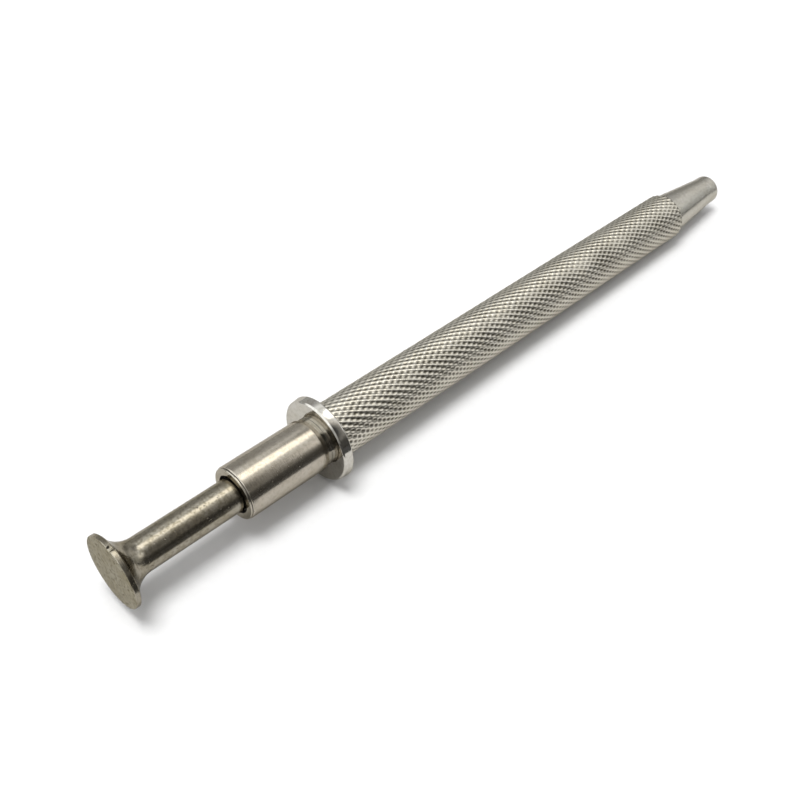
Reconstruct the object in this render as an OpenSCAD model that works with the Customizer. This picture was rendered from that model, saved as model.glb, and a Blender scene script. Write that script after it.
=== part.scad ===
// Plunger-action pick-up tool with four sprung prongs.
// The tool lies along +X with its nose towards +X, and +Z is up.
// The origin is on the axis, at the front face of the finger flange.

/* [Thumb plunger] */
// Radius of the thumb button
button_r = 4.8; // [4:0.1:5.5]
// Thickness of the button's rim
button_rim = 0.7; // [0.5:0.1:1]
// Radius of the fillet that runs from the button into the shaft
button_fillet = 3.2; // [2.8:0.1:3.6]
// Radius of the plunger shaft
shaft_r = 2.25; // [2.1:0.01:2.3]
// Distance from the flange's front face back to the button's face
button_back = 31.2; // [29:0.1:34]
// How far the plunger travels
travel = 9; // [6:0.5:9]

/* [Rear sleeve] */
// Outer radius of the rear sleeve
sleeve_r = 3.6; // [3.5:0.05:3.8]
// Length of the rear sleeve
sleeve_len = 11.6; // [11.6:0.1:12.2]
// Radius of the ring that closes the sleeve
ring_r = 3.5; // [3.3:0.05:3.5]
// Radius of the ring's open mouth around the shaft
ring_mouth_r = 2.6; // [2.45:0.05:2.65]

/* [Finger flange] */
// Radius of the finger flange
flange_r = 5.85; // [5:0.05:7]
// Thickness of the finger flange
flange_t = 1.4; // [1.2:0.1:1.8]
// Radius of the neck between sleeve and flange
neck_r = 3.4; // [3.2:0.05:3.4]

/* [Barrel] */
// Radius of the barrel over the crests of its knurl
barrel_r = 3.85; // [3.7:0.05:4.2]
// Length of the barrel
barrel_len = 75.8; // [75:0.1:80]
// Radius of the barrel's bore
bore_r = 2.45; // [2.4:0.01:2.5]

/* [Nose] */
// Radius of the nose cone where it meets the barrel
nose_root_r = 3.5; // [3.2:0.05:3.6]
// Radius of the nose just behind its rounded tip
nose_tip_r = 2.4; // [2.3:0.05:2.6]
// Length of the nose in front of the barrel
nose_len = 13; // [12.8:0.1:14]
// Radius of the hole in the nose
mouth_r = 1.7; // [1.7:0.05:1.8]

/* [Prongs] */
// Radius of the prong wire
wire_r = 0.25; // [0.2:0.01:0.25]
// Distance of each prong's root from the axis
prong_root_r = 0.45; // [0.42:0.01:0.5]
// Length of a prong from its root to its hooked tip
prong_len = 11.6; // [11:0.1:11.6]
// Outward set of a prong over its length while it is drawn in
prong_set = 0.48; // [0.3:0.02:0.5]

/* [Return spring] */
// Radius of the spring wire
spring_wire_r = 0.2; // [0.15:0.01:0.22]
// Mean radius of the spring's coils
spring_r = 1.85; // [1.8:0.01:1.95]
// Number of turns in the return spring
spring_turns = 22; // [16:1:26]

/* [Hidden] */
round_fn = 96;
small_fn = 48;

// Radial gaps and cut-throughs
run_gap = 0.05;
slide_gap = 0.1;
rest_gap = 0.02;
cut = 1;

// Rear sleeve and its bush
neck_len = 0.5;
hub_len = 0.5;
spigot_r = 2.85;
spigot_len = 5;
spigot_bore_r = 2.35;
sleeve_front = -flange_t - hub_len - neck_len;
sleeve_back = sleeve_front - sleeve_len;
sleeve_bore_r = 2.75;
sleeve_edge = 0.15;
ring_proud = 0.3;
ring_mouth_depth = 0.6;
ring_edge = 0.1;
bush_front = sleeve_back + 1.2;

// Finger flange
flange_edge = 0.27;

// Barrel
barrel_edge = 0.35;

// Plunger train
collar_r = sleeve_bore_r - slide_gap;
collar_t = 1.4;
collar_back = bush_front + rest_gap;
collar_front = collar_back + collar_t;
shaft_end = 0.48;
shaft_front = collar_front + shaft_end;
stop_room = 0.38;
stop_face = collar_front + travel + stop_room;
rod_r = 1.2;
rod_socket = 3.3;
pin_r = 0.3;
pin_x = (collar_back + collar_front) / 2;
button_edge = 0.12;

// Nose and ferrule
nose_front = barrel_len + nose_len;
nose_round = 0.32;
nose_straight = 2;
nose_spigot = 8;
prong_inset = 0.4;
prong_x = nose_front - prong_inset - prong_len;
ferrule_r = 1.4;
ferrule_tail = 3.8;
ferrule_lip = 1.5;
ferrule_back = prong_x - ferrule_tail;
ferrule_front = prong_x + ferrule_lip;
ferrule_socket = 2.5;
ferrule_cup_r = 1.08;
ferrule_cup_floor = prong_x - wire_r - 0.05;
rod_tip_r = 0.9;
ferrule_pin_x = ferrule_back + 1.2;
ferrule_pin_r = 0.25;
hook_len = 0.5;

// Spring and what it bears on
washer_t = 0.4;
washer_r = 2.25;
washer_bore_r = rod_r + run_gap;
spring_back = shaft_front + washer_t;
spring_front = 26.6;
guide_len = 2.5;
guide_x = 56;
seat_len = 3;

// A solid of revolution about the X axis, from [radius, x] points
module turned(points, fn = round_fn) {
    rotate([0, 90, 0])
        rotate_extrude($fn = fn)
            polygon(points);
}

// A plain round bar along X
module bar(r, x0, x1, fn = round_fn) {
    translate([x0, 0, 0])
        rotate([0, 90, 0])
            cylinder(r = r, h = x1 - x0, $fn = fn);
}

// A round ring along X
module ring(r_out, r_in, x0, x1) {
    difference() {
        bar(r_out, x0, x1);
        bar(r_in, x0 - cut, x1 + cut);
    }
}

// A round bar across the axis, standing along Z
module cross_bar(r, x, length) {
    translate([x, 0, -length / 2])
        cylinder(r = r, h = length, $fn = small_fn);
}

// Button, fillet and shaft, turned from one bar
module thumb_plunger() {
    face = -button_back;
    rim_front = face + button_rim;
    color([0.66, 0.63, 0.57])
    difference() {
        union() {
            turned([
                [0, face],
                [button_r - button_edge, face],
                [button_r, face + button_edge],
                [button_r, rim_front],
                [0, rim_front]
            ]);
            intersection() {
                bar(button_r, rim_front, rim_front + button_fillet);
                rotate([0, 90, 0])
                    translate([0, 0, rim_front])
                        rotate_extrude($fn = round_fn)
                            difference() {
                                square([shaft_r + button_fillet, button_fillet]);
                                translate([shaft_r + button_fillet, button_fillet])
                                    circle(r = button_fillet, $fn = round_fn);
                            }
            }
            bar(shaft_r, rim_front, shaft_front);
        }
        bar(rod_r, shaft_front - rod_socket, shaft_front + cut);
        cross_bar(pin_r, pin_x, 3 * shaft_r);
    }
}

// Collar pinned on the shaft, which stops the plunger both ways
module stop_collar() {
    color([0.6, 0.58, 0.54])
    difference() {
        ring(collar_r, shaft_r, collar_back, collar_front);
        cross_bar(pin_r, pin_x, 3 * collar_r);
    }
}

// Pin through collar, shaft and push rod
module collar_pin() {
    color([0.5, 0.5, 0.52])
    cross_bar(pin_r, pin_x, 2 * collar_r - 0.2);
}

// Thin rod that carries the prongs
module push_rod() {
    color([0.62, 0.6, 0.56])
    difference() {
        union() {
            bar(rod_r, shaft_front - rod_socket, ferrule_back, small_fn);
            bar(rod_tip_r, ferrule_back, ferrule_back + ferrule_socket, small_fn);
        }
        cross_bar(pin_r, pin_x, 3 * rod_r);
        cross_bar(ferrule_pin_r, ferrule_pin_x, 3 * rod_r);
    }
}

// Ferrule that holds the roots of the four prongs
module prong_ferrule() {
    color([0.72, 0.6, 0.36])
    difference() {
        bar(ferrule_r, ferrule_back, ferrule_front);
        bar(rod_tip_r, ferrule_back - cut, ferrule_back + ferrule_socket);
        bar(ferrule_cup_r, ferrule_cup_floor, ferrule_front + cut);
        cross_bar(ferrule_pin_r, ferrule_pin_x, 3 * ferrule_r);
    }
}

// Rivet through ferrule and rod
module ferrule_pin() {
    color([0.5, 0.5, 0.52])
    cross_bar(ferrule_pin_r, ferrule_pin_x, 2 * ferrule_r - 0.1);
}

// Bush that closes the rear sleeve and guides the shaft
module rear_bush() {
    back = sleeve_back - ring_proud;
    color([0.7, 0.67, 0.6])
    turned([
        [ring_mouth_r, back],
        [ring_r - ring_edge, back],
        [ring_r, back + ring_edge],
        [ring_r, sleeve_back],
        [sleeve_bore_r, sleeve_back],
        [sleeve_bore_r, bush_front],
        [shaft_r + run_gap, bush_front],
        [shaft_r + run_gap, back + ring_mouth_depth],
        [ring_mouth_r, back + ring_mouth_depth]
    ]);
}

// Sleeve behind the flange, with the spigot that screws into the barrel
module rear_sleeve() {
    color([0.7, 0.67, 0.6])
    turned([
        [sleeve_bore_r, sleeve_back],
        [sleeve_r - sleeve_edge, sleeve_back],
        [sleeve_r, sleeve_back + sleeve_edge],
        [sleeve_r, sleeve_front - sleeve_edge],
        [sleeve_r - sleeve_edge, sleeve_front],
        [neck_r, sleeve_front],
        [neck_r, sleeve_front + neck_len],
        [spigot_r, sleeve_front + neck_len],
        [spigot_r, spigot_len],
        [spigot_bore_r, spigot_len],
        [spigot_bore_r, stop_face],
        [sleeve_bore_r, stop_face]
    ]);
}

// Finger flange with its hub, held between sleeve and barrel
module finger_flange() {
    back = -flange_t;
    color([0.68, 0.65, 0.58])
    turned([
        [spigot_r, back - hub_len],
        [neck_r - 0.03, back - hub_len],
        [neck_r - 0.03, back],
        [flange_r - flange_edge, back],
        [flange_r, back + flange_edge],
        [flange_r, 0],
        [spigot_r, 0]
    ]);
}

// Long barrel, a tube that the hand holds
module barrel() {
    color([0.6, 0.58, 0.52])
    turned([
        [spigot_r, 0],
        [barrel_r, 0],
        [barrel_r, barrel_len - barrel_edge],
        [nose_root_r, barrel_len],
        [bore_r, barrel_len],
        [bore_r, spigot_len],
        [spigot_r, spigot_len]
    ]);
}

// Hollow nose that the prongs slide out of
module nose_cone() {
    color([0.68, 0.66, 0.6])
    turned([
        [mouth_r, barrel_len - nose_spigot],
        [bore_r, barrel_len - nose_spigot],
        [bore_r, barrel_len],
        [nose_root_r - 0.05, barrel_len],
        [nose_tip_r, nose_front - nose_straight],
        [nose_tip_r - 0.06, nose_front - nose_round],
        [nose_tip_r - nose_round * 0.45, nose_front - nose_round * 0.25],
        [nose_tip_r - nose_round, nose_front],
        [mouth_r, nose_front]
    ]);
}

// Bush in the barrel that the spring presses on and the rod slides in
module spring_seat() {
    seat_back = spring_front + washer_t;
    color([0.72, 0.6, 0.36])
    ring(bore_r, washer_bore_r, seat_back, seat_back + seat_len);
}

// Second bush that keeps the rod in line
module front_guide() {
    color([0.72, 0.6, 0.36])
    ring(bore_r, washer_bore_r, guide_x, guide_x + guide_len);
}

// Washer between the shaft's end and the spring
module spring_washer() {
    color([0.55, 0.55, 0.56])
    ring(washer_r, washer_bore_r, shaft_front, shaft_front + washer_t);
}

// Washer between the spring and its seat
module front_washer() {
    color([0.55, 0.55, 0.56])
    ring(washer_r, washer_bore_r, spring_front, spring_front + washer_t);
}

// Return spring, swept along its helix with flat ground ends
module return_spring() {
    sides = 6;
    steps = 12;
    lift = spring_wire_r + 0.01;
    x0 = spring_back + lift;
    x1 = spring_front - lift;
    count = spring_turns * steps;
    function helix(i) = [
        x0 + (x1 - x0) * i / count,
        spring_r * cos(360 * i / steps),
        spring_r * sin(360 * i / steps)
    ];
    function section(i) = [
        for (k = [0 : sides - 1])
            let (a = 360 * k / sides, r = spring_r + spring_wire_r * cos(a))
            [
                helix(i)[0] + spring_wire_r * sin(a),
                r * cos(360 * i / steps),
                r * sin(360 * i / steps)
            ]
    ];
    points = [for (i = [0 : count]) each section(i)];
    walls = [
        for (i = [0 : count - 1])
            for (k = [0 : sides - 1])
                let (n = (k + 1) % sides)
                each [
                    [i * sides + k, (i + 1) * sides + k, (i + 1) * sides + n],
                    [i * sides + k, (i + 1) * sides + n, i * sides + n]
                ]
    ];
    start = [for (k = [0 : sides - 1]) k];
    end = [for (k = [sides - 1 : -1 : 0]) count * sides + k];
    color([0.45, 0.45, 0.47])
    polyhedron(points = points, faces = concat([start], walls, [end]), convexity = 10);
}

// One hooked prong at an angle round the axis
module prong(angle) {
    lean = atan(prong_set / prong_len);
    run = prong_len / cos(lean) - wire_r;
    color([0.62, 0.62, 0.63])
    rotate([angle, 0, 0])
    translate([prong_x, prong_root_r, 0]) {
        sphere(r = wire_r, $fn = small_fn);
        rotate([0, 0, lean]) {
            rotate([0, 90, 0])
                cylinder(r = wire_r, h = run, $fn = small_fn);
            translate([run, 0, 0]) {
                sphere(r = wire_r, $fn = small_fn);
                rotate([90, 0, 0])
                    cylinder(r = wire_r, h = hook_len - wire_r, $fn = small_fn);
                translate([0, wire_r - hook_len, 0])
                    sphere(r = wire_r, $fn = small_fn);
            }
        }
    }
}

thumb_plunger();
stop_collar();
collar_pin();
push_rod();
prong_ferrule();
ferrule_pin();
rear_bush();
rear_sleeve();
finger_flange();
barrel();
nose_cone();
spring_seat();
front_guide();
spring_washer();
front_washer();
return_spring();
prong(0);  // prong_1
prong(90);  // prong_2
prong(180);  // prong_3
prong(270);  // prong_4
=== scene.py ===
"""Plunger-action pick-up tool: the visible pieces, their materials, the light and the camera."""

import math
import random

import bmesh
import bpy
from mathutils import Matrix, Vector, noise

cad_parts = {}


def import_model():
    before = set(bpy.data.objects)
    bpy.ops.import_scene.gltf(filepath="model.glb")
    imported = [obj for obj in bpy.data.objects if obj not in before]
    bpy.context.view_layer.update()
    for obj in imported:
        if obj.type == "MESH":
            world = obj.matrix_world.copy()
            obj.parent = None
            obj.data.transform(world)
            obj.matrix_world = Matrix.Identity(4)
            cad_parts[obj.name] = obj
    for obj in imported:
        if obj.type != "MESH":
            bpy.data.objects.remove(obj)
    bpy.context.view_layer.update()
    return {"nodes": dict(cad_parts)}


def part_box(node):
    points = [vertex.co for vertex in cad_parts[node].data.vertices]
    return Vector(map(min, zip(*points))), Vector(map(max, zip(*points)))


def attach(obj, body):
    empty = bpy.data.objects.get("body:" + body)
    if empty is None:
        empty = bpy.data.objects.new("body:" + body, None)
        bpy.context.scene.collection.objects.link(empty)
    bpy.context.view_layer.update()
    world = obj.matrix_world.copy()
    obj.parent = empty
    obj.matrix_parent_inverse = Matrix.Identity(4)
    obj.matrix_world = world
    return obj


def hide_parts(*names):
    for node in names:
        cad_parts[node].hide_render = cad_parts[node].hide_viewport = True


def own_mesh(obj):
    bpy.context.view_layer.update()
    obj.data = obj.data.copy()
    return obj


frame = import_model()

MM = 0.001
SIDES = 192


def span(node):
    """A round node's first and last station along X and its outer radius, in millimetres."""
    low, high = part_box(node)
    return low.x / MM, high.x / MM, high.z / MM


BUTTON_FACE, SHAFT_FRONT, BUTTON_R = span("thumb_plunger")
BUSH_BACK, BUSH_FRONT, BUSH_R = span("rear_bush")
SLEEVE_BACK, SPIGOT_FRONT, SLEEVE_R = span("rear_sleeve")
HUB_BACK, FLANGE_FRONT, FLANGE_R = span("finger_flange")
BARREL_BACK, BARREL_FRONT, BARREL_R = span("barrel")
SPIGOT_BACK, NOSE_FRONT, NOSE_ROOT_R = span("nose_cone")
SPRING_BACK, SPRING_FRONT, SPRING_OUT_R = span("return_spring")
ROD_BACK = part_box("push_rod")[0].x / MM

# Radii and lengths that a box doesn't give, in millimetres
SHAFT_R = 2.25
SHAFT_EDGE = 0.08
RIM = 0.7
FILLET = 3.2
MOUTH_R = 2.6
MOUTH_DEPTH = 0.6
JOINT = 0.11
JOINT_DEPTH = 0.08
BUSH_BORE_R = 2.3
BUSH_EDGE = 0.09
BUSH_LIP = 0.05
SLEEVE_BORE_R = 2.75
SLEEVE_EDGE = 0.12
SLEEVE_FLOOR = 0.1
SPIGOT_R = 2.85
SPIGOT_BORE_R = 2.35
NECK_R = 3.4
NECK = 0.5
HUB_STEP = 0.03
FLANGE_EDGE = 0.2
FLANGE_TAPER = 0.16
BARREL_EDGE = 0.35
BARREL_BORE_R = 2.45
NOSE_TIP_R = 2.4
NOSE_MOUTH_R = 1.7
NOSE_STRAIGHT = 2.0
NOSE_DRAFT = 0.06
NOSE_STEP = 0.04
ROD_R = 1.2

# How near a plane counts as on it, and the gap that keeps a buried face off its neighbour, in millimetres
NEAR = 0.01
TOUCHING = 0.001

# Prongs: wire, its gap in its hole, where it starts and ends, and its hook, in millimetres, then points on the
# straight and on the bend
WIRE_R = 0.25
WIRE_GAP = 0.004
PRONG_ROOT_R = 0.45
PRONG_TIP_R = 0.93
HOOK = 0.5
HOOK_BEND = 0.3
WIRE_STEPS = 23
BEND_STEPS = 8

# Spring: wire and its gap in millimetres, turns, closed turns at each end, their lead in wire radii, and points
# in a turn
SPRING_WIRE_R = 0.2
SPRING_GAP = 0.005
SPRING_TURNS = 22
SPRING_CLOSED = 1.25
SPRING_LEAD = 2.2
SPRING_STEPS = 36

# Knurl: ridges round the barrel each way, rows along it, mesh steps per ridge, and its depth in millimetres
KNURL_STARTS = 29
KNURL_ROWS = 104
KNURL_STEPS = 5
KNURL_DEPTH = 0.19

# How sharp its two families of ridges are, the weak one's height, and the notches it cuts in the strong one
STRONG_SHARPNESS = 1.5
WEAK_SHARPNESS = 1.7
WEAK_HEIGHT = 0.6
BEAD = 0.15

# Burrs in millimetres, and how fast they and the depth change along and around the barrel
BURR = 0.011
BURRS_ALONG, BURRS_AROUND = 2.3, 7.0
WANDER_ALONG, WANDER_AROUND, WANDER_START = 0.21, 1.3, 9.0
MEAN_SHARE, WANDER_SHARE = 0.88, 0.22

# Thumb button: its mesh, then its face, edges, dents and the nick in its rim, in millimetres and degrees
BUTTON_SIDES = 288
FACE_RINGS = 26
FILLET_RINGS = 18
SHAFT_RINGS = 12
CROWN = 0.04
ROLLED_EDGE = 0.06
CHAMFER = 0.06
DENTS = 60
DENT_SEED = 7
DENT_SIZE = (0.08, 0.3)
DENT_DEPTH = (0.012, 0.045)
NICK_ANGLE = 98.7
NICK_HALF = 0.36
NICK_DEPTH = 0.2
NICK_REACH = 0.5


# ---------------------------------------------------------------- materials


def grey(level):
    return (level, level, level)


def shaded(colour, share):
    """The colour multiplied, channel by channel, by a share or by one share for each channel."""
    shares = share if isinstance(share, tuple) else grey(share)
    return tuple(c * k for c, k in zip(colour, shares))


class Nodes:
    """Short calls for building a node tree."""

    def __init__(self, tree):
        self.tree = tree
        tree.nodes.clear()

    def put(self, socket, value):
        if isinstance(value, bpy.types.NodeSocket):
            self.tree.links.new(value, socket)
        elif isinstance(value, tuple) and len(value) == 3 and socket.type == "RGBA":
            socket.default_value = (*value, 1.0)
        else:
            socket.default_value = value

    def math(self, operation, a, b=0.0, clamp=False):
        node = self.tree.nodes.new("ShaderNodeMath")
        node.operation = operation
        node.use_clamp = clamp
        self.put(node.inputs[0], a)
        self.put(node.inputs[1], b)
        return node.outputs[0]

    def around_half(self, value, swing):
        """A noise value moved to swing evenly about zero."""
        return self.math("MULTIPLY", self.math("SUBTRACT", value, 0.5), swing)

    def vector(self, operation, a, b=(0.0, 0.0, 0.0)):
        node = self.tree.nodes.new("ShaderNodeVectorMath")
        node.operation = operation
        self.put(node.inputs[0], a)
        self.put(node.inputs[1], b)
        return node.outputs["Value" if operation in ("DOT_PRODUCT", "LENGTH") else "Vector"]

    def split(self, vector):
        node = self.tree.nodes.new("ShaderNodeSeparateXYZ")
        self.put(node.inputs[0], vector)
        return node.outputs

    def join(self, x=0.0, y=0.0, z=0.0):
        node = self.tree.nodes.new("ShaderNodeCombineXYZ")
        for socket, value in zip(node.inputs, (x, y, z)):
            self.put(socket, value)
        return node.outputs[0]

    def noise(self, where, scale, detail=2.0, roughness=0.5):
        node = self.tree.nodes.new("ShaderNodeTexNoise")
        self.put(node.inputs["Vector"], where)
        node.inputs["Scale"].default_value = scale
        node.inputs["Detail"].default_value = detail
        node.inputs["Roughness"].default_value = roughness
        return node.outputs["Fac"]

    def cells(self, where, scale):
        node = self.tree.nodes.new("ShaderNodeTexVoronoi")
        self.put(node.inputs["Vector"], where)
        node.inputs["Scale"].default_value = scale
        return node.outputs["Distance"]

    def ramp(self, factor, stops):
        """Stops are (place, level) or (place, colour) pairs, from low to high."""
        node = self.tree.nodes.new("ShaderNodeValToRGB")
        points = node.color_ramp.elements
        while len(points) < len(stops):
            points.new(0.5)
        for point, (place, value) in zip(points, stops):
            point.position = place
            point.color = (*(value if isinstance(value, tuple) else grey(value)), 1.0)
        self.put(node.inputs["Fac"], factor)
        return node.outputs["Color"]

    def mix(self, factor, a, b, blend="MIX"):
        node = self.tree.nodes.new("ShaderNodeMix")
        node.data_type = "RGBA"
        node.blend_type = blend
        self.put(node.inputs[0], factor)
        self.put(node.inputs[6], a)
        self.put(node.inputs[7], b)
        return node.outputs[2]

    def bump(self, height, strength, distance, under=None):
        node = self.tree.nodes.new("ShaderNodeBump")
        node.inputs["Strength"].default_value = strength
        node.inputs["Distance"].default_value = distance
        self.put(node.inputs["Height"], height)
        if under is not None:
            self.put(node.inputs["Normal"], under)
        return node.outputs["Normal"]

    def surface(self, kind, **sockets):
        """A shader with its sockets set by name, joined to the material's output."""
        shader = self.tree.nodes.new(kind)
        for key, value in sockets.items():
            self.put(shader.inputs[key.replace("_", " ")], value)
        out = self.tree.nodes.new("ShaderNodeOutputMaterial")
        self.put(out.inputs["Surface"], shader.outputs[0])


def object_mm(n):
    """Object coordinates in millimetres."""
    place = n.tree.nodes.new("ShaderNodeTexCoord").outputs["Object"]
    return n.vector("MULTIPLY", place, grey(1.0 / MM))


# How close the tool marks lie along X, Y and Z: round the axis, along it, or as rings on an end face
LINES = {"turned": (6.0, 0.3, 0.3), "drawn": (0.25, 6.0, 6.0), "faced": (0.5, 0.4, 0.4)}
RING_LINES = 6.0

# Sizes of the patterns, as features per millimetre
GRAIN_SCALE = 9.0
BLOTCH_SCALE = 2.4
CLOUD_SCALE = 0.5
PIT_SCALE = 1.7
PIT_FIELD_SCALE = 0.8
PIT_SHIFT = (3.7, 1.3, 8.1)
SPECK_DETAIL = 3.0

EDGE_TINT = (0.62, 0.6, 0.56)
STAIN = (0.80, 0.77, 0.68)
FLECK = 0.65
PIT_COLOUR = (0.10, 0.085, 0.06)
PIT_SHARE = 0.8
# Warm tint multiplied in at a low radius: painted shade, with soiling too in the knurl's hollows
SHADE_AND_DIRT_COLOUR = (1.0, 0.95, 0.82)
MARK_SWING = 0.16
BLOTCH_SWING = 0.14
PIT_ROUGHNESS = 0.3
FINE_RELIEF = 0.012 * MM
PIT_RELIEF = 0.04 * MM


def metal(name, tint, roughness, lines, mottle, hatch, grain, pits, pit_size=0.16, shade_and_dirt=None):
    """Plated or bare metal with stains, fine tool marks, small pits and, where asked, darkening at a low
    radius.

    The last argument, if given, is (radius where the darkening is full, radius where it ends, share of colour
    it leaves): painted shade in a hollow, with soiling too in the knurl's hollows.
    """
    material = bpy.data.materials.new(name)
    material.use_nodes = True
    n = Nodes(material.node_tree)
    mm = object_mm(n)
    _, y, z = n.split(mm)
    radius = n.vector("LENGTH", n.join(0.0, y, z))

    along = n.vector("MULTIPLY", mm, LINES[lines])
    if lines == "faced":
        along = n.vector("ADD", along, n.join(n.math("MULTIPLY", radius, RING_LINES)))
    marks = n.noise(along, 1.0, SPECK_DETAIL, 0.6)
    fine = n.noise(mm, GRAIN_SCALE, SPECK_DETAIL, 0.6)
    cloud = n.noise(mm, CLOUD_SCALE, SPECK_DETAIL, 0.55)
    blotch = n.noise(mm, BLOTCH_SCALE, SPECK_DETAIL, 0.6)

    stained = n.math("MULTIPLY", n.ramp(cloud, [(0.38, 0.0), (0.66, 1.0)]), mottle, clamp=True)
    colour = n.mix(stained, tint, shaded(tint, STAIN))
    flecked = n.math("MULTIPLY", n.ramp(blotch, [(0.47, 0.0), (0.62, 0.8)]), mottle, clamp=True)
    colour = n.mix(flecked, colour, shaded(tint, shaded(STAIN, FLECK)))

    cell = n.cells(n.vector("ADD", mm, PIT_SHIFT), PIT_SCALE)
    spots = n.ramp(cell, [(0.4 * pit_size, 1.0), (pit_size, 0.0)])
    where = n.ramp(n.noise(mm, PIT_FIELD_SCALE), [(0.5, 0.0), (0.6, 1.0)])
    pit = n.math("MULTIPLY", spots, where)
    colour = n.mix(n.math("MULTIPLY", pit, PIT_SHARE * pits), colour, PIT_COLOUR)

    # Darker at a low radius: painted shade in the bush's mouth, painted shade with soiling in the knurl's
    # hollows
    if shade_and_dirt:
        full, clear, share = shade_and_dirt
        height = n.tree.nodes.new("ShaderNodeMapRange")
        n.put(height.inputs["Value"], radius)
        height.inputs["From Min"].default_value = full
        height.inputs["From Max"].default_value = clear
        patchy = n.math("ADD", height.outputs["Result"], n.around_half(blotch, 0.3))
        darkened = shaded(SHADE_AND_DIRT_COLOUR, share)
        colour = n.mix(1.0, colour, n.ramp(patchy, [(0.1, darkened), (0.8, 1.0)]), "MULTIPLY")

    rough = n.math("ADD", roughness, n.around_half(marks, MARK_SWING * hatch))
    rough = n.math("ADD", rough, n.around_half(blotch, BLOTCH_SWING * mottle))
    rough = n.math("ADD", rough, n.math("MULTIPLY", pit, PIT_ROUGHNESS), clamp=True)

    normal = n.bump(marks, hatch, FINE_RELIEF)
    normal = n.bump(fine, grain, FINE_RELIEF, normal)
    normal = n.bump(n.math("SUBTRACT", 1.0, pit), pits, PIT_RELIEF, normal)
    n.surface(
        "ShaderNodeBsdfPrincipled",
        Metallic=1.0,
        Base_Color=colour,
        Roughness=rough,
        Specular_Tint=EDGE_TINT,
        Normal=normal,
    )
    return material


def grime_and_shade():
    """Near-black: painted shade in the bush's mouth, and dark greasy soiling packed into the joints."""
    material = bpy.data.materials.new("packed_grime_and_shade")
    material.use_nodes = True
    n = Nodes(material.node_tree)
    mm = object_mm(n)
    lumps = n.noise(mm, 6.0, 3.0, 0.6)
    n.surface(
        "ShaderNodeBsdfPrincipled",
        Base_Color=n.ramp(lumps, [(0.3, (0.012, 0.010, 0.008)), (0.7, (0.04, 0.034, 0.026))]),
        Roughness=n.math("ADD", 0.6, n.around_half(lumps, 0.3)),
        Normal=n.bump(lumps, 0.5, 0.02 * MM),
    )
    return material


# Painted shade at a low radius: the radii where it is full and where it ends, and the share of colour it leaves
# In the bush's mouth: painted shade for the dark gap round the shaft
MOUTH_SHADE = (MOUTH_R - 0.02, MOUTH_R + 0.06, 0.05)
# In the knurl's hollows: painted shade, with some soiling
KNURL_SHADE_AND_DIRT = (BARREL_R - KNURL_DEPTH, BARREL_R - 0.03, 0.16)

# Name, tint, roughness and kind of tool marks, then how strong the mottling, marks, grain and pits are, and for
# some the pits' size and the painted shade at a low radius
METALS = {
    "shaft": ("worn_nickel_shaft", (0.31, 0.285, 0.235), 0.20, "turned", 0.8, 0.6, 0.3, 0.55, 0.22),
    "face": ("worn_nickel_face", (0.34, 0.315, 0.245), 0.33, "faced", 1.2, 0.5, 0.5, 1.0, 0.3),
    "sleeve": ("nickel_sleeve", (0.40, 0.365, 0.31), 0.18, "turned", 0.35, 0.4, 0.2, 0.2),
    # The ring is darkened round its mouth with painted shade
    "ring": ("nickel_ring", (0.40, 0.37, 0.315), 0.14, "faced", 0.4, 0.2, 0.15, 0.2, 0.16, MOUTH_SHADE),
    "flange": ("nickel_flange", (0.52, 0.50, 0.46), 0.08, "faced", 0.35, 0.12, 0.08, 0.15),
    # The knurl's hollows are darkened with painted shade and soiling
    "knurl": ("knurled_nickel", (0.63, 0.60, 0.53), 0.29, "turned", 0.3, 0.2, 0.6, 0.1, 0.16, KNURL_SHADE_AND_DIRT),
    "nose": ("nickel_nose", (0.53, 0.51, 0.46), 0.24, "turned", 0.3, 0.25, 0.1, 0.15),
    "steel": ("inner_steel", (0.45, 0.45, 0.46), 0.34, "turned", 0.4, 0.5, 0.3, 0.3),
    "rod": ("drawn_steel", (0.47, 0.47, 0.48), 0.30, "drawn", 0.4, 0.5, 0.3, 0.3),
    "brass": ("turned_brass", (0.66, 0.46, 0.19), 0.32, "turned", 0.6, 0.5, 0.3, 0.4),
    "spring": ("spring_wire", (0.36, 0.36, 0.38), 0.36, "drawn", 0.5, 0.4, 0.3, 0.3),
    "prong": ("prong_wire", (0.56, 0.56, 0.57), 0.22, "drawn", 0.3, 0.4, 0.2, 0.2),
}
LOOKS = {look: metal(*recipe) for look, recipe in METALS.items()}
# Near-black: painted shade in the bush's mouth, soiling in the joints
LOOKS["grime_and_shade"] = grime_and_shade()


# ---------------------------------------------------------------- mesh tools


def finish_mesh(name, bm, looks, body, node, smooth_angle=38.0):
    """Turns a bmesh in millimetres into a piece that rides on its body and stands for its node.

    Edges sharper than smooth_angle, in degrees, stay crisp.
    """
    bmesh.ops.recalc_face_normals(bm, faces=bm.faces)
    bmesh.ops.scale(bm, vec=(MM, MM, MM), verts=bm.verts)
    mesh = bpy.data.meshes.new(name)
    bm.to_mesh(mesh)
    bm.free()
    for polygon in mesh.polygons:
        polygon.use_smooth = True
    mesh.set_sharp_from_angle(angle=math.radians(smooth_angle))
    piece = bpy.data.objects.new(name, mesh)
    bpy.context.scene.collection.objects.link(piece)
    for look in looks:
        mesh.materials.append(LOOKS[look])
    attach(piece, body)
    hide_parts(node)
    return piece


def paint(piece, index, test):
    """Gives the faces that pass a test of their station and radius the piece's material of that index."""
    for polygon in piece.data.polygons:
        x, y, z = polygon.center / MM
        if test(x, math.hypot(y, z)):
            polygon.material_index = index


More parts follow.
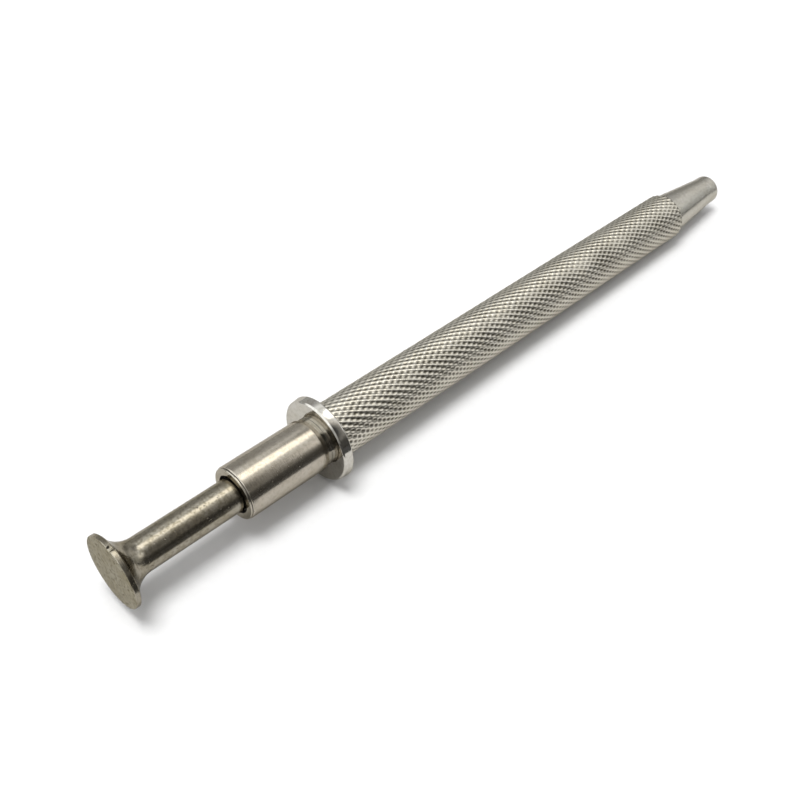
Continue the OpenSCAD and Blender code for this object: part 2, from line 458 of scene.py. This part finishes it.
def rounded(points, steps=5):
    """A closed outline of (x, radius, corner radius) with its corners turned into arcs, as (x, radius)."""
    out = []
    for i, (x, y, r) in enumerate(points):
        here = Vector((x, y))
        back = Vector(points[i - 1][:2]) - here
        ahead = Vector(points[(i + 1) % len(points)][:2]) - here
        if r <= 0.0:
            out.append(tuple(here))
            continue
        turn = back.angle(ahead)
        reach = min(r / math.tan(turn / 2), 0.48 * back.length, 0.48 * ahead.length)
        arc_r = reach * math.tan(turn / 2)
        inward = (back.normalized() + ahead.normalized()).normalized()
        centre = here + inward * (arc_r / math.sin(turn / 2))
        first = here + back.normalized() * reach - centre
        last = here + ahead.normalized() * reach - centre
        arc = first.angle_signed(last)
        for k in range(steps + 1):
            spoke = first.copy()
            spoke.rotate(Matrix.Rotation(-arc * k / steps, 2))
            out.append(tuple(centre + spoke))
    return out


def ring_of(bm, x, r, sides):
    """A ring of vertices about the X axis."""
    angles = (2 * math.pi * k / sides for k in range(sides))
    return [bm.verts.new((x, r * math.cos(a), r * math.sin(a))) for a in angles]


def join_rings(bm, one, two):
    """A band of faces between two rings with as many vertices each."""
    for k in range(len(one)):
        m = (k + 1) % len(one)
        bm.faces.new((one[k], one[m], two[m], two[k]))


def lathe(outline, sides=SIDES):
    """A closed outline of (x, radius) turned about the X axis."""
    bm = bmesh.new()
    rings = []
    for x, r in outline:
        rings.append(ring_of(bm, x, r, sides) if r > 0.0 else [bm.verts.new((x, 0.0, 0.0))])
    for one, two in zip(rings, rings[1:] + rings[:1]):
        if len(one) == len(two) == sides:
            join_rings(bm, one, two)
        elif len(one) + len(two) > 2:
            hub, rim = (one[0], two) if len(one) == 1 else (two[0], one)
            for k in range(sides):
                bm.faces.new((hub, rim[k], rim[(k + 1) % sides]))
    return bm


def sweep(path, radius, sides=16, dome_rings=0):
    """A round wire along a path of points, closed at both ends, with domes if they are given rings."""
    points = [Vector(p) for p in path]
    last_one = len(points) - 1
    frames = []
    side = None
    for i, point in enumerate(points):
        tangent = (points[min(i + 1, last_one)] - points[max(i - 1, 0)]).normalized()
        side = side or tangent.orthogonal().normalized()
        side = (side - tangent * side.dot(tangent)).normalized()
        frames.append((point, side, tangent.cross(side), radius, tangent))
    first, last = frames[0], frames[-1]
    for k in range(1, dome_rings + 1):
        t = math.pi / 2 * k / (dome_rings + 1)
        small, out = radius * math.cos(t), radius * math.sin(t)
        frames.insert(0, (first[0] - first[4] * out, *first[1:3], small, first[4]))
        frames.append((last[0] + last[4] * out, *last[1:3], small, last[4]))
    bm = bmesh.new()
    rings = []
    angles = [2 * math.pi * k / sides for k in range(sides)]
    for centre, right, up, r, _ in frames:
        spokes = (right * math.cos(a) + up * math.sin(a) for a in angles)
        rings.append([bm.verts.new(centre + spoke * r) for spoke in spokes])
    for one, two in zip(rings, rings[1:]):
        join_rings(bm, one, two)
    bm.faces.new(rings[0][::-1])
    bm.faces.new(rings[-1])
    return bm


# ---------------------------------------------------------------- the handle's pieces


def knurl_height(a, b):
    """Height of the knurl from 0 in a pit to 1 on a ridge, where a and b count ridges both ways."""
    strong = (0.5 + 0.5 * math.cos(2 * math.pi * b)) ** STRONG_SHARPNESS
    weak = (0.5 + 0.5 * math.cos(2 * math.pi * a)) ** WEAK_SHARPNESS
    return strong * (1.0 - BEAD * (1.0 - weak)) + (1.0 - strong) * WEAK_HEIGHT * weak


def knurl_radius(x, angle, a, b):
    """Radius of the knurled surface, with small burrs and a depth that wanders as the tool's pressure did."""
    y, z = math.cos(angle), math.sin(angle)
    burr = noise.noise(Vector((x * BURRS_ALONG, BURRS_AROUND * y, BURRS_AROUND * z)))
    wander = noise.noise(Vector((x * WANDER_ALONG + WANDER_START, WANDER_AROUND * y, WANDER_AROUND * z)))
    depth = KNURL_DEPTH * (MEAN_SHARE + WANDER_SHARE * wander)
    return BARREL_R - BURR - depth * (1.0 - knurl_height(a, b)) + BURR * burr


def barrel():
    """The tube with its diamond knurl as real ridges and pits.

    Its vertices lie on the knurl's own lattice: p and q count fine steps across the two families of
    ridges, a full turn adds KNURL_STARTS ridges to both, and p less q runs along the tube.
    """
    around = KNURL_STARTS * KNURL_STEPS
    length = KNURL_ROWS * KNURL_STEPS
    pitch = 2 * (BARREL_FRONT - BARREL_EDGE - BARREL_BACK) / KNURL_ROWS
    bm = bmesh.new()
    verts = {}

    def vert(p, q):
        key = ((p + q) % (2 * around), p - q)
        if key not in verts:
            a, b = p / KNURL_STEPS, q / KNURL_STEPS
            x = BARREL_BACK + (a - b) * pitch / 2
            angle = math.pi * (a + b) / KNURL_STARTS
            r = knurl_radius(x, angle, a, b)
            verts[key] = bm.verts.new((x, r * math.cos(angle), r * math.sin(angle)))
        return verts[key]

    for q in range(around):
        bm.faces.new((vert(q, q), vert(q + 1, q), vert(q + 1, q + 1)))
        for d in range(1, length):
            p = q + d
            bm.faces.new((vert(p, q), vert(p + 1, q), vert(p + 1, q + 1), vert(p, q + 1)))
        p = q + length
        bm.faces.new((vert(p, q), vert(p + 1, q + 1), vert(p, q + 1)))

    def end_loop(d):
        return [verts[((2 * q + d) % (2 * around), d)] for q in range(around)]

    def ring_like(edge, x, r):
        angles = (math.atan2(v.co.z, v.co.y) for v in edge)
        return [bm.verts.new((x, r * math.cos(a), r * math.sin(a))) for a in angles]

    front, back = end_loop(length), end_loop(0)
    rings = [
        front,
        ring_like(front, BARREL_FRONT - 0.5 * BARREL_EDGE, BARREL_R - 0.55 * BARREL_EDGE),
        ring_like(front, BARREL_FRONT, NOSE_ROOT_R + NOSE_STEP),
        ring_like(front, BARREL_FRONT, BARREL_BORE_R + TOUCHING),
        ring_like(back, SPIGOT_FRONT, BARREL_BORE_R + TOUCHING),
        ring_like(back, SPIGOT_FRONT, SPIGOT_R + TOUCHING),
        ring_like(back, BARREL_BACK, SPIGOT_R + TOUCHING),
        back,
    ]
    for one, two in zip(rings, rings[1:]):
        join_rings(bm, one, two)
    finish_mesh("knurled_barrel", bm, ["knurl"], "handle", "barrel", 80.0)


def rear_bush():
    """The bright ring round the shaft, with painted shade in its mouth and dark soiling in its joint with the
    sleeve.
    """
    mouth_floor = BUSH_BACK + MOUTH_DEPTH
    outline = rounded(
        [
            (BUSH_BACK, MOUTH_R, 0.04),
            (BUSH_BACK, BUSH_R - BUSH_EDGE, 0.02),
            (BUSH_BACK + BUSH_EDGE, BUSH_R, 0.03),
            (SLEEVE_BACK - JOINT, BUSH_R, 0.02),
            (SLEEVE_BACK - JOINT, BUSH_R - JOINT_DEPTH, 0.0),
            (SLEEVE_BACK, BUSH_R - JOINT_DEPTH, 0.0),
            (SLEEVE_BACK, SLEEVE_BORE_R, 0.0),
            (BUSH_FRONT, SLEEVE_BORE_R, 0.05),
            (BUSH_FRONT, BUSH_BORE_R, 0.05),
            (mouth_floor, BUSH_BORE_R, 0.0),
            (mouth_floor, MOUTH_R, 0.0),
        ]
    )
    looks = ["ring", "grime_and_shade"]
    piece = finish_mesh("bush_ring", lathe(outline), looks, "handle", "rear_bush")
    # The mouth's walls and floor get the near-black colour: painted shade in the gap round the shaft
    paint(piece, 1, lambda x, r: BUSH_BACK + BUSH_LIP < x < mouth_floor + NEAR and r < MOUTH_R + NEAR)
    # The joint with the sleeve gets it too, as dark soiling
    paint(piece, 1, lambda x, r: x > SLEEVE_BACK - JOINT - NEAR and r > SLEEVE_BORE_R + NEAR)


def rear_sleeve():
    """The smooth sleeve, its neck, and the spigot that screws into the barrel."""
    sleeve_front = HUB_BACK - NECK
    bore_end = HUB_BACK - SLEEVE_FLOOR
    outline = rounded(
        [
            (SLEEVE_BACK, SLEEVE_BORE_R, 0.0),
            (SLEEVE_BACK, SLEEVE_R - SLEEVE_EDGE, 0.02),
            (SLEEVE_BACK + SLEEVE_EDGE, SLEEVE_R, 0.04),
            (sleeve_front - SLEEVE_EDGE, SLEEVE_R, 0.05),
            (sleeve_front, SLEEVE_R - SLEEVE_EDGE, 0.03),
            (sleeve_front, NECK_R, 0.06),
            (HUB_BACK, NECK_R, 0.02),
            (HUB_BACK, SPIGOT_R, 0.0),
            (SPIGOT_FRONT, SPIGOT_R, 0.05),
            (SPIGOT_FRONT, SPIGOT_BORE_R, 0.05),
            (bore_end, SPIGOT_BORE_R, 0.0),
            (bore_end, SLEEVE_BORE_R, 0.0),
        ]
    )
    finish_mesh("sleeve", lathe(outline), ["sleeve"], "handle", "rear_sleeve")


def finger_flange():
    """The mirror-bright flange with its hub, and a fine dark line of soiling where they meet."""
    hub_r = NECK_R - HUB_STEP
    hub_front = HUB_BACK + NECK
    outline = rounded(
        [
            (HUB_BACK, SPIGOT_R, 0.0),
            (HUB_BACK, hub_r, 0.02),
            (hub_front - HUB_STEP, hub_r, 0.0),
            (hub_front, hub_r + HUB_STEP, 0.0),
            (hub_front, FLANGE_R - FLANGE_TAPER - FLANGE_EDGE, 0.08),
            (hub_front + FLANGE_EDGE, FLANGE_R - FLANGE_TAPER, 0.14),
            (FLANGE_FRONT, FLANGE_R, 0.2),
            (FLANGE_FRONT, SPIGOT_R, 0.0),
        ]
    )
    looks = ["flange", "grime_and_shade"]
    piece = finish_mesh("flange", lathe(outline), looks, "handle", "finger_flange", 25.0)
    paint(piece, 1, lambda x, r: hub_front - HUB_STEP < x < hub_front and hub_r < r < hub_r + HUB_STEP)


def nose_cone():
    """The plain hollow nose: a spigot in the barrel, a taper, a short straight end and a rounded tip."""
    outline = rounded(
        [
            (SPIGOT_BACK, NOSE_MOUTH_R, 0.0),
            (SPIGOT_BACK, BARREL_BORE_R, 0.05),
            (BARREL_FRONT, BARREL_BORE_R, 0.0),
            (BARREL_FRONT, NOSE_ROOT_R, 0.06),
            (NOSE_FRONT - NOSE_STRAIGHT, NOSE_TIP_R, 4.0),
            (NOSE_FRONT, NOSE_TIP_R - NOSE_DRAFT, 0.26),
            (NOSE_FRONT, NOSE_MOUTH_R, 0.06),
        ],
        steps=8,
    )
    finish_mesh("nose", lathe(outline), ["nose"], "handle", "nose_cone")


# ---------------------------------------------------------------- the plunger's pieces


def plunger_outline():
    """Crowned face, crisp rim, fillet, shaft and the socket for the push rod, as (x, radius)."""
    rim_front = BUTTON_FACE + RIM
    flat_r = BUTTON_R - CHAMFER
    outline = [(BUTTON_FACE, flat_r * k / FACE_RINGS) for k in range(FACE_RINGS + 1)]
    outline += [
        (BUTTON_FACE + CHAMFER, BUTTON_R),
        (rim_front - CHAMFER, BUTTON_R),
        (rim_front, BUTTON_R - CHAMFER),
    ]
    fillet_x, centre_r = rim_front + FILLET, SHAFT_R + FILLET
    first = math.asin((centre_r - BUTTON_R + CHAMFER) / FILLET)
    for k in range(1, FILLET_RINGS + 1):
        t = first + (math.pi / 2 - first) * k / FILLET_RINGS
        outline.append((fillet_x - FILLET * math.cos(t), centre_r - FILLET * math.sin(t)))
    bare = SHAFT_FRONT - SHAFT_EDGE - fillet_x
    outline += [(fillet_x + bare * k / SHAFT_RINGS, SHAFT_R) for k in range(1, SHAFT_RINGS + 1)]
    outline += [(SHAFT_FRONT, SHAFT_R - SHAFT_EDGE), (SHAFT_FRONT, ROD_R), (ROD_BACK, ROD_R), (ROD_BACK, 0.0)]
    return outline


def thumb_plunger():
    """Button, fillet and shaft in one turned piece, with the nick in its rim and dents in its face."""
    bm = lathe(plunger_outline(), BUTTON_SIDES)
    marks = random.Random(DENT_SEED)
    dents = []
    for _ in range(DENTS):
        r, turn = BUTTON_R * math.sqrt(marks.uniform(0.01, 0.75)), marks.uniform(0, 2 * math.pi)
        size, deep = marks.uniform(*DENT_SIZE), marks.uniform(*DENT_DEPTH)
        dents.append((r * math.cos(turn), r * math.sin(turn), size, deep))
    nick = math.radians(NICK_ANGLE)
    for v in bm.verts:
        x, y, z = v.co
        r = math.hypot(y, z)
        if x < BUTTON_FACE + CHAMFER + NEAR:
            v.co.x += CROWN * (r / BUTTON_R) ** 3 + ROLLED_EDGE * (r / BUTTON_R) ** 14
        if x < BUTTON_FACE + NEAR:
            for dy, dz, size, deep in dents:
                v.co.x += deep * math.exp(-((y - dy) ** 2 + (z - dz) ** 2) / size**2)
        if r > BUTTON_R - NICK_REACH and x < BUTTON_FACE + RIM + NEAR:
            turn = (math.atan2(z, y) - nick + math.pi) % (2 * math.pi) - math.pi
            away = abs(turn) * BUTTON_R / NICK_HALF
            bite = NICK_DEPTH * max(0.0, 1.0 - away**4)
            v.co.y -= bite * math.cos(nick)
            v.co.z -= bite * math.sin(nick)
    looks = ["shaft", "face"]
    piece = finish_mesh("button_and_shaft", bm, looks, "plunger", "thumb_plunger", 40.0)
    paint(piece, 1, lambda x, r: x < BUTTON_FACE + CROWN + CHAMFER and r < BUTTON_R - NEAR)


def prong(number):
    """One wire prong with its hook, bent as the wire lies when it is drawn in."""
    node = f"prong_{number}"
    low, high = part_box(node)
    root_x, tip_x = low.x / MM + WIRE_R, high.x / MM - WIRE_R
    angle = math.radians(90 * (number - 1))
    out = Vector((0.0, math.cos(angle), math.sin(angle)))
    lean = (PRONG_TIP_R - PRONG_ROOT_R) / (tip_x - root_x)
    path = []
    for k in range(WIRE_STEPS + 1):
        run = (tip_x - HOOK_BEND - root_x) * k / WIRE_STEPS
        path.append((root_x + run, PRONG_ROOT_R + lean * run))
    top = path[-1][1]
    for k in range(1, BEND_STEPS + 1):
        t = math.pi / 2 * k / BEND_STEPS
        path.append((tip_x - HOOK_BEND * (1 - math.sin(t)), top - HOOK_BEND * (1 - math.cos(t))))
    path.append((tip_x, PRONG_TIP_R - HOOK + WIRE_R))
    points = [Vector((x, 0.0, 0.0)) + out * r for x, r in path]
    bm = sweep(points, WIRE_R - WIRE_GAP, sides=20, dome_rings=4)
    finish_mesh(f"wire_prong_{number}", bm, ["prong"], node, node, 60.0)


def return_spring():
    """The spring with closed end coils, drawn at rest on a mesh of its own.

    The real one squashes towards its seat as the plunger goes in.
    """
    wire = SPRING_WIRE_R - SPRING_GAP
    mean_r = SPRING_OUT_R - SPRING_WIRE_R
    start, end = SPRING_BACK + wire, SPRING_FRONT - wire
    lead = SPRING_LEAD * wire
    open_length = (end - start) - 2 * SPRING_CLOSED * lead
    open_turns = SPRING_TURNS - 2 * SPRING_CLOSED
    path = []
    for i in range(SPRING_TURNS * SPRING_STEPS + 1):
        turn = i / SPRING_STEPS
        if turn < SPRING_CLOSED:
            x = start + lead * turn
        elif turn > SPRING_TURNS - SPRING_CLOSED:
            x = end - lead * (SPRING_TURNS - turn)
        else:
            x = start + SPRING_CLOSED * lead + open_length * (turn - SPRING_CLOSED) / open_turns
        a = 2 * math.pi * turn
        path.append((x, mean_r * math.cos(a), mean_r * math.sin(a)))
    bm = sweep(path, wire, sides=10)
    piece = finish_mesh("spring", bm, ["spring"], "handle", "return_spring", 60.0)
    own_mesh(piece)


# The inner CAD nodes that keep their own shape, by the look each gets
INNER = {
    "steel": ("stop_collar", "collar_pin", "ferrule_pin", "spring_washer", "front_washer"),
    "rod": ("push_rod",),
    "brass": ("spring_seat", "front_guide", "prong_ferrule"),
}


def inner_nodes():
    """Gives the inner CAD nodes their finished materials."""
    for look, names in INNER.items():
        for name in names:
            node = frame["nodes"][name]
            node.data.materials.clear()
            node.data.materials.append(LOOKS[look])


# ---------------------------------------------------------------- floor, light and camera

# The floor's rise along X under the tool, its clearance and half its width, in millimetres
SLOPE = (FLANGE_R - BARREL_R) / (BARREL_FRONT - BARREL_EDGE - FLANGE_FRONT)
FLOOR_GAP = 0.02
FAR = 3000.0

# The flag's corners as (x, y), and its height above the floor
FLAG = (
    (-FAR, -15.0),
    (-FAR, -FAR),
    (FAR, -FAR),
    (FAR, -30.0),
    (110.0, -26.0),
    (17.0, -24.0),
    (9.0, -31.0),
    (-4.0, -31.0),
    (-10.0, -15.0),
)
FLAG_LIFT = 0.2

# The dome's light by height (0 at the horizon, 1 overhead), away from the camera and on its side, and how the
# two meet by the cosine of the angle from the azimuth of the camera's side
FAR_LIGHT = [(0.0, 0.62), (0.25, 0.66), (0.48, 0.72), (0.62, 0.9), (0.72, 1.1), (0.80, 1.4), (1.0, 1.2)]
NEAR_LIGHT = [(0.0, 0.08), (0.29, 0.10), (0.41, 0.28), (0.62, 0.5), (0.77, 0.75), (0.87, 1.1), (1.0, 1.2)]
NEAR_AZIMUTH = -95.0
NEAR_SHARE = [(0.5, 0.0), (0.56, 0.2), (0.67, 0.75), (0.79, 1.0)]
COOL = (0.97, 0.99, 1.0)
WARM = (1.0, 0.97, 0.92)

# Patches on the dome: elevation, azimuth, full out to, gone by (all in degrees), and light
PATCHES = (
    (30.0, 80.0, 8.0, 26.0, grey(0.5)),
    (8.0, 34.0, 8.0, 24.0, grey(0.42)),
    (30.0, 2.0, 6.0, 22.0, grey(1.0)),
    (47.0, -100.0, 19.0, 32.0, grey(0.08)),
    (48.0, 150.0, 37.0, 46.0, (1.9, 1.95, 2.0)),
    (46.0, 21.0, 10.0, 18.0, grey(0.36)),
    (34.0, -38.0, 8.0, 16.0, grey(1.8)),
    (67.0, 3.0, 9.5, 15.5, (3.4, 3.35, 3.2)),
)

# Lamps: elevation, azimuth, distance and diameter in metres, and power in watts
LAMPS = {
    "key": (81.4, 171.0, 0.8, 0.4, 5.1),
    "fill": (88.0, 0.0, 1.0, 4.0, 33.0),
}

# Where the camera stands, what it looks at and which way is up for it; its lens and sensor in millimetres; and
# its near clip in metres
CAMERA_PLACE = (-58.13, -68.76, 89.94)
CAMERA_TARGET = (13.95, 0.06, -2.6)
CAMERA_UP = (-0.0397, 0.0, 1.0)
LENS = 45.0
SENSOR = 36.0
CLIP_START = 0.005


def slab(name, corners, lift):
    """A flat sheet parallel to the floor with its corners at (x, y) in millimetres, at a height above it."""
    bm = bmesh.new()
    points = (Vector((x, y, SLOPE * x - FLANGE_R - FLOOR_GAP + lift)) for x, y in corners)
    bm.faces.new([bm.verts.new(point * MM) for point in points])
    mesh = bpy.data.meshes.new(name)
    bm.to_mesh(mesh)
    bm.free()
    sheet = bpy.data.objects.new(name, mesh)
    bpy.context.scene.collection.objects.link(sheet)
    material = bpy.data.materials.new(name)
    material.use_nodes = True
    mesh.materials.append(material)
    return sheet, Nodes(material.node_tree)


def floor():
    """Plain white paper, which the tool touches with its flange and the front end of its barrel."""
    _, n = slab("floor_paper", ((-FAR, -FAR), (FAR, -FAR), (FAR, FAR), (-FAR, FAR)), 0.0)
    tooth = n.noise(object_mm(n), 0.9, 3.0)
    n.surface(
        "ShaderNodeBsdfPrincipled",
        Base_Color=n.ramp(tooth, [(0.3, 0.79), (0.7, 0.81)]),
        Roughness=0.9,
        Specular_IOR_Level=0.0,
    )


def flag():
    """A dark sheet on the camera's side, which shows only as a dark band mirrored in the metal."""
    sheet, n = slab("flag", FLAG, FLAG_LIFT)
    weave = n.noise(object_mm(n), 2.0, 3.0)
    n.surface("ShaderNodeBsdfDiffuse", Color=n.ramp(weave, [(0.3, 0.06), (0.7, 0.10)]))
    sheet.visible_camera = False
    sheet.visible_diffuse = False
    sheet.visible_shadow = False


def direction(elevation, azimuth):
    """Unit vector at an elevation above the floor and an azimuth from +X towards +Y, in degrees."""
    e, a = math.radians(elevation), math.radians(azimuth)
    return Vector((math.cos(e) * math.cos(a), math.cos(e) * math.sin(a), math.sin(e)))


def world():
    """A studio dome that is only mirrored in the metal, with brighter and darker patches on it."""
    dome = bpy.data.worlds.new("studio")
    bpy.context.scene.world = dome
    dome.use_nodes = True
    dome.cycles_visibility.diffuse = False
    n = Nodes(dome.node_tree)
    way = n.tree.nodes.new("ShaderNodeTexCoord").outputs["Generated"]
    x, y, z = n.split(way)
    level = n.vector("NORMALIZE", n.join(x, y, 0.0))
    toward = n.vector("DOT_PRODUCT", level, tuple(direction(0.0, NEAR_AZIMUTH)))
    side = n.ramp(toward, NEAR_SHARE)
    light = n.mix(side, n.ramp(z, FAR_LIGHT), n.ramp(z, NEAR_LIGHT))
    light = n.mix(1.0, light, n.mix(side, COOL, WARM), "MULTIPLY")
    for elevation, azimuth, full, gone, patch in PATCHES:
        close = n.vector("DOT_PRODUCT", way, tuple(direction(elevation, azimuth)))
        edge = n.ramp(close, [(math.cos(math.radians(gone)), 0.0), (math.cos(math.radians(full)), 1.0)])
        light = n.mix(edge, light, patch)
    background = n.tree.nodes.new("ShaderNodeBackground")
    n.put(background.inputs["Color"], light)
    out = n.tree.nodes.new("ShaderNodeOutputWorld")
    n.put(out.inputs["Surface"], background.outputs[0])


def lights():
    """The lamps that light the paper. None of them is mirrored in the metal."""
    for name, (elevation, azimuth, distance, size, power) in LAMPS.items():
        data = bpy.data.lights.new(name, "AREA")
        data.shape = "DISK"
        data.size = size
        data.energy = power
        lamp = bpy.data.objects.new(name, data)
        aim = direction(elevation, azimuth)
        lamp.location = aim * distance
        lamp.rotation_mode = "QUATERNION"
        lamp.rotation_quaternion = aim.to_track_quat("Z", "Y")
        lamp.visible_glossy = False
        bpy.context.scene.collection.objects.link(lamp)


def camera():
    """A camera above and behind the button, which looks along the tool."""
    data = bpy.data.cameras.new("camera")
    data.lens = LENS
    data.sensor_width = SENSOR
    data.clip_start = CLIP_START
    place, target = Vector(CAMERA_PLACE) * MM, Vector(CAMERA_TARGET) * MM
    back = (place - target).normalized()
    right = Vector(CAMERA_UP).cross(back).normalized()
    up = back.cross(right)
    turn = Matrix((right, up, back)).transposed().to_4x4()
    eye = bpy.data.objects.new("camera", data)
    eye.matrix_world = Matrix.Translation(place) @ turn
    bpy.context.scene.collection.objects.link(eye)
    bpy.context.scene.camera = eye


camera()
world()
lights()
floor()
flag()
bpy.context.scene.view_settings.view_transform = "Standard"

barrel()
rear_bush()
rear_sleeve()
finger_flange()
nose_cone()
thumb_plunger()
for number in range(1, 5):
    prong(number)
return_spring()
inner_nodes()
